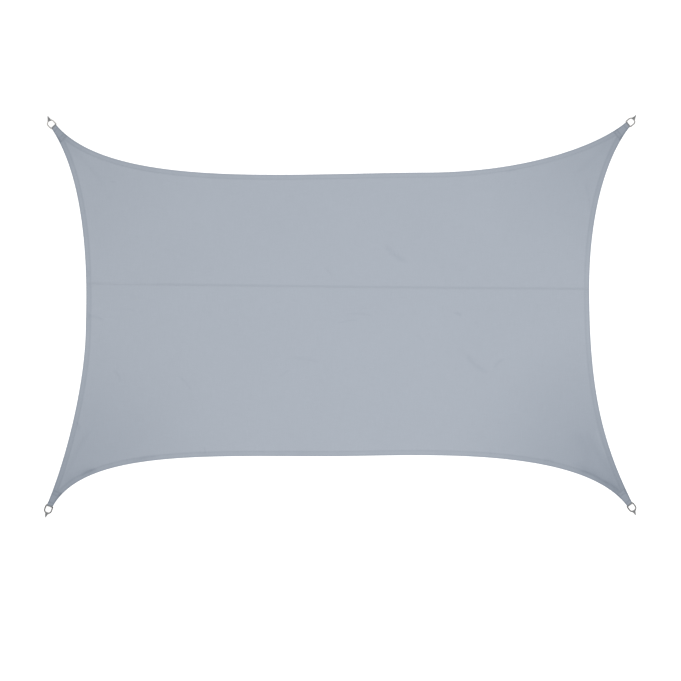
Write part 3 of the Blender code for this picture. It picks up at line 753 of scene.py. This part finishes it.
def fullness(at, rim):
    """0 at the rounded rim of a panel, 1 a little further in."""
    fold = np.clip(at.away / HEM_ROUND, 0.0, 1.0)
    own_edge = np.clip((at.above + 0.5 * LAP) / LAP_ROUND, 0.0, 1.0)
    full = np.sqrt(1.0 - np.square(1.0 - np.minimum(fold, own_edge)))
    full[rim] = 0.0
    return full


def tone(at, shade):
    """How bright the cloth's colour is made at each point against plain cloth: by the hem's layers,
    and by painted shade.
    """
    drift = unevenness(at.along)
    by_tip = 1.0 - smooth(at.to_end / EDGE_TONE_REACH)
    hem = 1.0 - smooth((at.away - HEM_WIDTH) / HEM_TONE_EASE + 0.5)
    edge = 1.0 - smooth((at.away - EDGE_TONE_IN) / EDGE_TONE_IN)
    stitch = bell((at.away - STITCH_IN) / STITCH_TONE_HALF)
    seam = bell((at.sign * at.above - SEAM_TONE_AT) / SEAM_TONE_HALF) * (1.0 - hem)
    bright = 1.0 - HEM_TONE * hem * at.hem_share * (1.0 + HEM_DRIFT * drift)
    # Painted shade beside the outer fold and along the stitch line.
    bright *= 1.0 - (EDGE_PAINTED_SHADE + EDGE_TONE_TIP * by_tip) * edge
    bright *= 1.0 - STITCH_PAINTED_SHADE * stitch * (1.0 - STITCH_DRIFT * drift + by_tip)
    # The seam's lap layers with painted shade, turned to painted light near its left end.
    bright *= 1.0 - SEAM_TONE * seam * (1.0 - seam_fade(at.points))
    return bright * (1.0 - shade) * painted_corner_shade(at.points)


def painted_corner_shade(points):
    """How bright the cloth's colour is made near the tips: painted shade that darkens it there."""
    bright = np.ones(len(points))
    for tip, corner in CORNERS.items():
        gap = gap_to(points, tip)
        bright *= 1.0 - corner.share * (1.0 - smooth(gap / corner.reach))
        bright *= 1.0 - corner.near_share * (1.0 - smooth(gap / corner.near_reach))
    return bright


def panel_shape(points, sign, rim=()):
    """Heights of a panel's face and underside, and its tone, at flat points of it."""
    at = placed(points, sign)
    folds, shade = fold_relief(points)
    thick = thickness(at)
    on_face, below = stitch_grooves(at)
    middle = lift(at, folds) + 0.5 * thick
    half = 0.5 * thick * fullness(at, list(rim))
    return middle + half - on_face, middle - half + below, tone(at, shade)


def panel(sign, material):
    """One panel with its hem, as a fine closed sheet."""
    flat, faces, border = panel_plan(sign)
    rim = set(border)
    faces = [corners for corners in faces if not rim.issuperset(corners)]
    face, under, bright = panel_shape(flat, sign, border)
    kept = sorted(set(range(len(flat))) - rim)
    lower = {i: i for i in border}
    lower.update((i, len(flat) + k) for k, i in enumerate(kept))
    points = np.vstack([np.column_stack([flat, face]),
                        np.column_stack([flat[kept], under[kept]])])
    values = {"tone": np.concatenate([bright, bright[kept]])[:, None] ** SHADE_POWERS,
              "weave_at": points * (1.0, 1.0, 0.0)}
    bottoms = [tuple(lower[i] for i in reversed(corners)) for corners in faces]
    piece = make_piece(LEVELS[sign] + "_panel", points, faces + bottoms, material,
                       "panel_" + LEVELS[sign], values)
    outline = flat[border]
    x, y = outline.T
    area = 0.5 * abs(np.dot(x, np.roll(y, 1)) - np.dot(y, np.roll(x, 1)))


# ---- straps round the wire
def strap_profile(strap, top_middle):
    """Reach and height of a strap's middle: its lower leg, its turn, its top leg."""
    low, start = 0.5 * strap.cloth, strap.centre + LEG_CLEAR
    turn = way(np.linspace(-90.0, -270.0, STRAP_TURNS))
    above = np.linspace(start, strap.top_leg, strap.top_count)
    return np.vstack([columns(np.linspace(strap.low_leg, start, strap.low_count), low),
                      (strap.centre, RING_HEIGHT) + (RING_HEIGHT - low) * turn,
                      columns(above, top_middle(above))])


def folded_strap(kind, tip, top_middle, place, bright, material):
    """A strap that is folded round a wire, as a closed sheet with rounded edges.

    top_middle gives the height of its top leg at a reach, place the x and y at a place
    across the strap and a reach, and bright its tone there.
    """
    strap = STRAPS[kind]
    profile = strap_profile(strap, top_middle)
    normal = -turned(unit(np.gradient(profile, axis=0)))
    loop = [(part, 0.5) for part in LANES] + [(part, -0.5) for part in LANES[-2:0:-1]]
    count, last = len(loop), len(profile) - 1
    lengths = length_along(profile)
    points, weave, tones = [], [], []
    for station, far in enumerate(lengths):
        for part, side in loop:
            into = np.clip((1.0 - abs(part)) / strap.edge_round, 0.0, 1.0)
            full = math.sqrt(1.0 - (1.0 - into) ** 2) * (STRAP_END if station in (0, last) else 1.0)
            reach, height = profile[station] + side * strap.cloth * full * normal[station]
            points.append((*place(part, reach), height))
            weave.append((part * TAB_FOLD_HALF, far, 0.0))
            tones.append(bright(part, reach))
    # The faces of the underside are split the other way, to mirror those on top.
    faces = [face if k % count < len(LANES) - 1 else face[1:] + face[:1] for k, face in
             enumerate(tube_faces([k * count for k in range(last + 1)], count))]
    for first in (0, last * count):
        for k in range(len(LANES) - 1):
            corners = (k, k + 1, count - k - 1, (count - k) % count)
            faces.append(tuple(dict.fromkeys(first + corner for corner in corners)))
    piece = make_piece(strap.name + tip, points, faces, material,
                       kind + "_" + tip, {"tone": tones, "weave_at": weave})
    area = 0.5 * float(sum(face.area for face in piece.data.polygons))


def tab_top_middle(inward):
    """Height of the middle of the tab's top leg, which comes down behind the bar."""
    crown = 2.0 * RING_HEIGHT - TAB_LOW
    return TAB_TOP + (crown - TAB_TOP) * (1.0 - smooth((inward - BAR_IN) / TAB_SHOULDER))


def tab_place(tip):
    """Where a place across a tab and a reach inward lie."""
    middle, out, left = tip_frame(tip)
    ease = smooth((TAB_REACHES - PANEL_START) / TAB_WIDEN)
    halves = [(1.0 - ease) * TAB_FOLD_HALF + ease * (np.abs(side) - TAB_INSET)
              for side in sides_at(tip, TAB_REACHES)]

    def place(part, inward):
        half = np.interp(inward, TAB_REACHES, halves[int(part > 0)])
        return middle - inward * out + part * half * left
    return place


def tab_tone(tip):
    """The tone of a tab, in three colours, at a place across it and a reach inward, with painted
    shade over it and round the bar.
    """
    first, second = TAB_ROWS[-2:]

    def bright(part, reach):
        fold = 1.0 - smooth((reach - BAR_IN) / TAB_FOLD_RUN)
        rows = max(bell((reach - row) / TAB_ROW_HALF) for row in TAB_ROWS)
        share = (reach - first) / (second - first)
        cross = bell((abs(part) - abs(2.0 * share - 1.0)) / TAB_CROSS_HALF)
        box = (1.0 - TAB_CROSS_LIGHT * cross) if 0.0 < share < 1.0 else 0.0
        edge = smooth((abs(part) - TAB_EDGE_FROM) / TAB_EDGE_RUN)
        grey = CORNERS[tip].tab * (1.0 - TAB_FOLD_PAINTED_SHADE * fold)
        grey *= (1.0 - TAB_ROW_TONE * rows) * (1.0 - TAB_BOX_TONE * box)
        grey *= 1.0 - TAB_EDGE_TONE * edge
        return [grey ** power * (1.0 - fold + fold * tint)
                for power, tint in zip(SHADE_POWERS, TAB_FOLD_TINT)]
    return bright


def tab(tip, material):
    """The cloth tab of one corner, folded round the ring's bar."""
    low, high = sides_at(tip, TAB_LOW_LEG)
    folded_strap("tab", tip, tab_top_middle, tab_place(tip), tab_tone(tip),
                 material)


def tail_top_middle(reach):
    """Height of the middle of a tail's top leg, which comes down to its point."""
    landed = 1.5 * TAIL_CLOTH
    crown = 2.0 * RING_HEIGHT - 0.5 * TAIL_CLOTH
    return landed + (crown - landed) * (1.0 - reach / TAIL_REACH) ** TAIL_FALL


def tail_place(tip):
    """Where a place across a tail and a reach outward from the crown lie."""
    middle, out, _ = tip_frame(tip)
    bow = middle + RING_BOW * out
    turn = sum(TIPS[tip][2:])
    end, beside = bow + (RING_HALF + TAIL_REACH) * way(turn), TAIL_TIP_HALF * turned(way(turn))

    def place(part, reach):
        spoke = way(turn + part * TAIL_SPREAD)
        root = bow + RING_HALF * spoke
        if reach <= 0.0:
            return root + reach * spoke
        share = min(reach / TAIL_REACH, 1.0)
        return (1.0 - share) * root + share * (end + part * beside)
    return place


def tail(tip, material):
    """The dark tapered tail of webbing that is looped round a ring's crown."""
    width = float(2.0 * RING_HALF * way(TAIL_SPREAD)[1])
    folded_strap("tail", tip, tail_top_middle, tail_place(tip), lambda part, reach: 1.0,
                 material)


# ---- the rings
def ring_line():
    """The wire's centre line: +X points out of the cloth, the origin is at its bow."""
    crown = RING_HALF * way(np.linspace(-90.0, 90.0, 49))
    middle = (-RING_BOW - BAR_IN + RING_FOOT_BEND, RING_FOOT_HALF - RING_FOOT_BEND)
    corner = middle + RING_FOOT_BEND * way(np.linspace(90.0, 180.0, 11))
    return np.vstack([crown, corner, corner[::-1] * (1.0, -1.0)])


def ring(tip, material):
    """One D-ring of round wire."""
    line = ring_line()
    line = resampled(np.vstack([line, line[:1]]), WIRE_SPACING)[:-1]
    beside = -turned(unit(np.roll(line, -1, axis=0) - np.roll(line, 1, axis=0)))
    middle, out, left = tip_frame(tip)
    wire = WIRE * way(360.0 * np.arange(WIRE_SIDES) / WIRE_SIDES)
    flat = (line[:, None] + wire[:, :1] * beside[:, None]).reshape(-1, 2)
    flat = middle + RING_BOW * out + flat @ np.array([out, left])
    count = len(line)
    points = np.column_stack([flat, np.tile(RING_HEIGHT + wire[:, 1], count)])
    faces = tube_faces([k % count * WIRE_SIDES for k in range(count + 1)], WIRE_SIDES)
    # Its tone is a painted reflection: bright for the upper rings, dark for the lower ones.
    make_piece("steel_ring_" + tip, points, faces, material,
               "ring_" + tip, {"tone": np.full(len(points), CORNERS[tip].ring)})


# ---- stitches
def bead():
    """One stitch: its points, along in half lengths and across in metres, and its faces."""
    round_thread = THREAD * way(360.0 * (np.arange(BEAD_SIDES) + BEAD_TURN) / BEAD_SIDES)
    points = np.vstack([(-1.0, 0.0, -THREAD)]
                       + [columns(2.0 * share, *(wide * round_thread).T)
                          for share, wide in BEAD_SECTIONS] + [(1.0, 0.0, -THREAD)])
    starts = [1 + k * BEAD_SIDES for k in range(len(BEAD_SECTIONS))]
    faces = tube_faces(starts, BEAD_SIDES)
    for side in range(BEAD_SIDES):
        after = (side + 1) % BEAD_SIDES
        faces.append((0, 1 + after, 1 + side))
        faces.append((starts[-1] + side, starts[-1] + after, len(points) - 1))
    return points, faces


def stitches(name, rows, material):
    """One mesh of the stitches along rows of x, y, z points, the thread's middle."""
    shape, sides = bead()
    points = []
    for row in rows:
        starts = np.arange(int(length_along(row)[-1] / STITCH)) + 0.5 * (1.0 - STITCH_SHARE)
        a, b = points_at(row, starts * STITCH), points_at(row, (starts + STITCH_SHARE) * STITCH)
        along = unit(b - a)
        beside = unit(np.column_stack([turned(along), np.zeros(len(a))]))
        frames = np.stack([0.5 * (b - a), beside, np.cross(along, beside)], axis=1)
        points += list(0.5 * (a + b)[:, None] + shape @ frames)
    faces = [tuple(k * len(shape) + corner for corner in face)
             for k in range(len(points)) for face in sides]
    make_piece(name, np.vstack(points), faces, material)


def thread_row(flat, sign, face):
    """A stitch line at flat points of a panel, along the middle of its thread."""
    top, under, _ = panel_shape(flat, sign)
    low = np.maximum(under - THREAD_UNDER * THREAD, THREAD)
    return np.column_stack([flat, top + THREAD_OVER * THREAD if face else low])


def hem_rows(sign, face):
    """The stitch lines along the hems of one panel, on its face or its underside."""
    rows, leg = [], TAB_TOP_LEG if face else TAB_LOW_LEG
    for name in ("left", LONG_EDGES[sign], "right"):
        line = resampled(edge_in(name, STITCH_IN), STITCH)
        keep = sign * over_seam(line) > HEM_STITCH_FROM[sign] * LAP
        for tip in TIPS:
            keep &= clear_of(line, tip, leg + LEG_CLEAR)
        rows.append(thread_row(line[keep], sign, face))
    return rows


def seam_rows(face):
    """The two stitch lines of the seam, on the face or the underside."""
    low, high = (crossing(name, SEAM_STITCH_IN, 0.0) for name in ("left", "right"))
    return [thread_row(seam_line(np.arange(low, high, STITCH), off), 1 if face else -1, face)
            for off in SEAM_STITCHES]


def tab_rows(tip):
    """The stitch lines on the face of a tab: across, along its sides, and in a cross."""
    place = tab_place(tip)

    def row(parts, inwards):
        return np.array([(*place(part, inward), tab_top_middle(inward) + TAB_LOW)
                         for part, inward in columns(parts, inwards)])

    edge = 1.0 - TAB_ROW_INSET / TAB_FOLD_HALF
    rows = [row(edge * np.linspace(-1.0, 1.0, 21), inward) for inward in TAB_ROWS]
    for side in (-1, 1):
        rows.append(row(side * edge, np.arange(TAB_ROWS[0], TAB_ROWS[-1], 0.003)))
        rows.append(row(side * np.linspace(-0.8, 0.8, 12), np.linspace(*TAB_ROWS[-2:], 12)))
    return rows


# ---- materials
class Shader:
    """A material, with short ways to add and join its nodes."""

    def __init__(self, name):
        self.material = bpy.data.materials.new(name)
        self.material.use_nodes = True
        self.tree = self.material.node_tree
        self.body = self.tree.nodes["Principled BSDF"]

    def fill(self, node, inputs):
        """Join each value to its input of a node, or set it there."""
        for key, value in inputs.items():
            if isinstance(value, bpy.types.NodeSocket):
                self.tree.links.new(value, node.inputs[key])
            else:
                node.inputs[key].default_value = value

    def node(self, kind, inputs, output=0, **settings):
        """An output of a new node."""
        made = self.tree.nodes.new("ShaderNode" + kind)
        for key, value in settings.items():
            setattr(made, key, value)
        self.fill(made, inputs)
        return made.outputs[output]

    def finish(self, inputs):
        """The material, with its surface's own inputs filled."""
        self.fill(self.body, inputs)
        return self.material

    def toned(self, colour):
        """The colour times the tone that is kept at the mesh's points."""
        return self.tinted(self.node("Attribute", {}, "Color", attribute_name="tone"), colour)

    def space(self):
        return self.node("TexCoord", {}, "Object")

    def math(self, operation, first, second=0.0):
        return self.node("Math", {0: first, 1: second}, operation=operation)

    def drift(self, value, share, base=1.0):
        """The base with this share of a value added."""
        return self.math("ADD", base, self.math("MULTIPLY", value, share))

    def tinted(self, colour, factor):
        """The colour times a factor that changes over the surface."""
        return self.node("VectorMath", {0: colour, 1: factor}, operation="MULTIPLY")

    def noise(self, where, scale, detail=2.0, stretch=(1.0, 1.0, 1.0)):
        spot = self.node("Mapping", {"Vector": where, "Scale": stretch})
        return self.node("TexNoise", {"Vector": spot, "Scale": scale, "Detail": detail}, "Fac")

    def bump(self, height, depth):
        made = self.node("Bump", {"Height": height, "Distance": depth, "Strength": 1.0})
        self.fill(self.body, {"Normal": made})


def cloth_material(name):
    """Woven cloth: crossing yarns with slubs, slow mottling, and the tone of its place, painted
    shade included.
    """
    colour, pitch, depth, roughness, sheen = WEAVES[name]
    shader = Shader(name)
    weave = shader.node("Attribute", {}, "Vector", attribute_name="weave_at")
    places = (shader.node("SeparateXYZ", {0: weave}, axis) for axis in ("X", "Y"))
    turns = math.tau / pitch
    warp, weft = (shader.math("SINE", shader.math("MULTIPLY", place, turns)) for place in places)
    checks = shader.math("MULTIPLY", warp, weft)
    across, along = 1.0 / pitch, SLUB_LENGTHS
    slubs = shader.math("ADD", shader.noise(weave, 1.0, 2.0, (across, along, 1.0)),
                        shader.noise(weave, 1.0, 2.0, (along, across, 1.0)))
    mottle = shader.noise(weave, MOTTLES, 4.0)
    patches = shader.noise(weave, PATCHES, 3.0)
    factor = 1.0
    for value, middle, share in ((slubs, 1.0, SLUB_SHARE), (checks, 0.0, CHECK_SHARE),
                                 (mottle, 0.5, MOTTLE_SHARE), (patches, 0.5, PATCH_SHARE)):
        drift = shader.drift(shader.math("SUBTRACT", value, middle), share)
        factor = shader.math("MULTIPLY", factor, drift)
    height = shader.drift(slubs, 0.5 * depth, shader.math("MULTIPLY", checks, 0.5 * depth))
    shader.bump(shader.drift(shader.noise(weave, WRINKLES, 3.0), WRINKLE_DEPTH, height), 1.0)
    return shader.finish({"Base Color": shader.tinted(shader.toned(colour), factor),
                          "Roughness": shader.drift(patches, 0.1, roughness - 0.05),
                          "Specular IOR Level": 0.30, "Sheen Weight": sheen,
                          "Sheen Roughness": 0.5})


def steel_material():
    """Bright plated wire with faint drawing marks and duller patches, times its ring's painted
    reflection tone.
    """
    shader = Shader("plated_steel")
    patches = shader.noise(shader.space(), WIRE_PATCHES, 3.0)
    shader.bump(shader.noise(shader.space(), WIRE_MARKS, 3.0), 0.00001)
    tone = shader.drift(patches, 0.14, 0.93)
    return shader.finish({"Base Color": shader.tinted(shader.toned(STEEL_COLOUR), tone),
                          "Roughness": shader.drift(patches, 0.22, 0.20), "Metallic": 1.0})


def thread_material(name):
    """Twisted thread, in a shade of the cloth's colour."""
    shader = Shader(name)
    twist = shader.noise(shader.space(), THREAD_TWIST, 2.0)
    shader.bump(twist, 0.00008)
    colour = tuple(THREADS[name] * part for part in CLOTH_COLOUR)
    return shader.finish({"Base Color": shader.tinted(colour, shader.drift(twist, 0.24, 0.88)),
                          "Roughness": 0.6})


def floor_material():
    """Plain pale floor with the faintest unevenness."""
    shader = Shader("pale_floor")
    tone = shader.drift(shader.noise(shader.space(), 0.7), 0.02, 0.985)
    return shader.finish({"Base Color": shader.tinted(FLOOR_COLOUR, tone), "Roughness": 0.9,
                          "Specular IOR Level": 0.1})


# ---- stage and view
def stage():
    """The floor, the light and the pale surroundings."""
    mesh = bpy.data.meshes.new("floor")
    signs = ((-1, -1), (1, -1), (1, 1), (-1, 1))
    corners = [(x * FLOOR_HALF, y * FLOOR_HALF, 0.0) for x, y in signs]
    mesh.from_pydata(corners, [], [(0, 1, 2, 3)])
    mesh.materials.append(floor_material())
    placed_object("floor", mesh)

    lamp = bpy.data.lights.new("overhead", "AREA")
    lamp.shape = "RECTANGLE"
    lamp.size, lamp.size_y = LIGHT_SIZE
    lamp.energy = LIGHT_POWER
    placed_object("overhead", lamp).location = LIGHT_AT

    world = bpy.data.worlds.new("studio")
    world.use_nodes = True
    backdrop = world.node_tree.nodes["Background"]
    backdrop.inputs["Color"].default_value = (1.0, 1.0, 1.0, 1.0)
    backdrop.inputs["Strength"].default_value = WORLD
    bpy.context.scene.world = world
    bpy.context.scene.view_settings.view_transform = "Standard"


def camera():
    """Straight above the sail, as it is seen in the photograph."""
    data = bpy.data.cameras.new("camera")
    data.sensor_width = SENSOR
    data.lens = LENS
    data.clip_end = 100.0
    holder = placed_object("camera", data)
    middle = 0.5 * PHOTO_SIDE
    holder.location = ((middle - ORIGIN_PX[0]) * PIXEL, (ORIGIN_PX[1] - middle) * PIXEL,
                       PHOTO_SIDE * PIXEL * LENS / SENSOR)
    bpy.context.scene.camera = holder


# ---- the whole
def build():
    sail, tab_cloth, webbing = (cloth_material(name) for name in WEAVES)
    thread, tab_thread = (thread_material(name) for name in THREADS)
    steel = steel_material()
    for tip in TIPS:
        ring(tip, steel)
        tab(tip, tab_cloth)
        tail(tip, webbing)
    for sign in LEVELS:
        panel(sign, sail)
    for where, face in (("_face", True), ("_back", False)):
        for sign, level in LEVELS.items():
            stitches("hem_stitches_" + level + where, hem_rows(sign, face), thread)
        stitches("seam_stitches" + where, seam_rows(face), thread)
    stitches("tab_stitches", [row for tip in TIPS for row in tab_rows(tip)], tab_thread)


build()
stage()
camera()
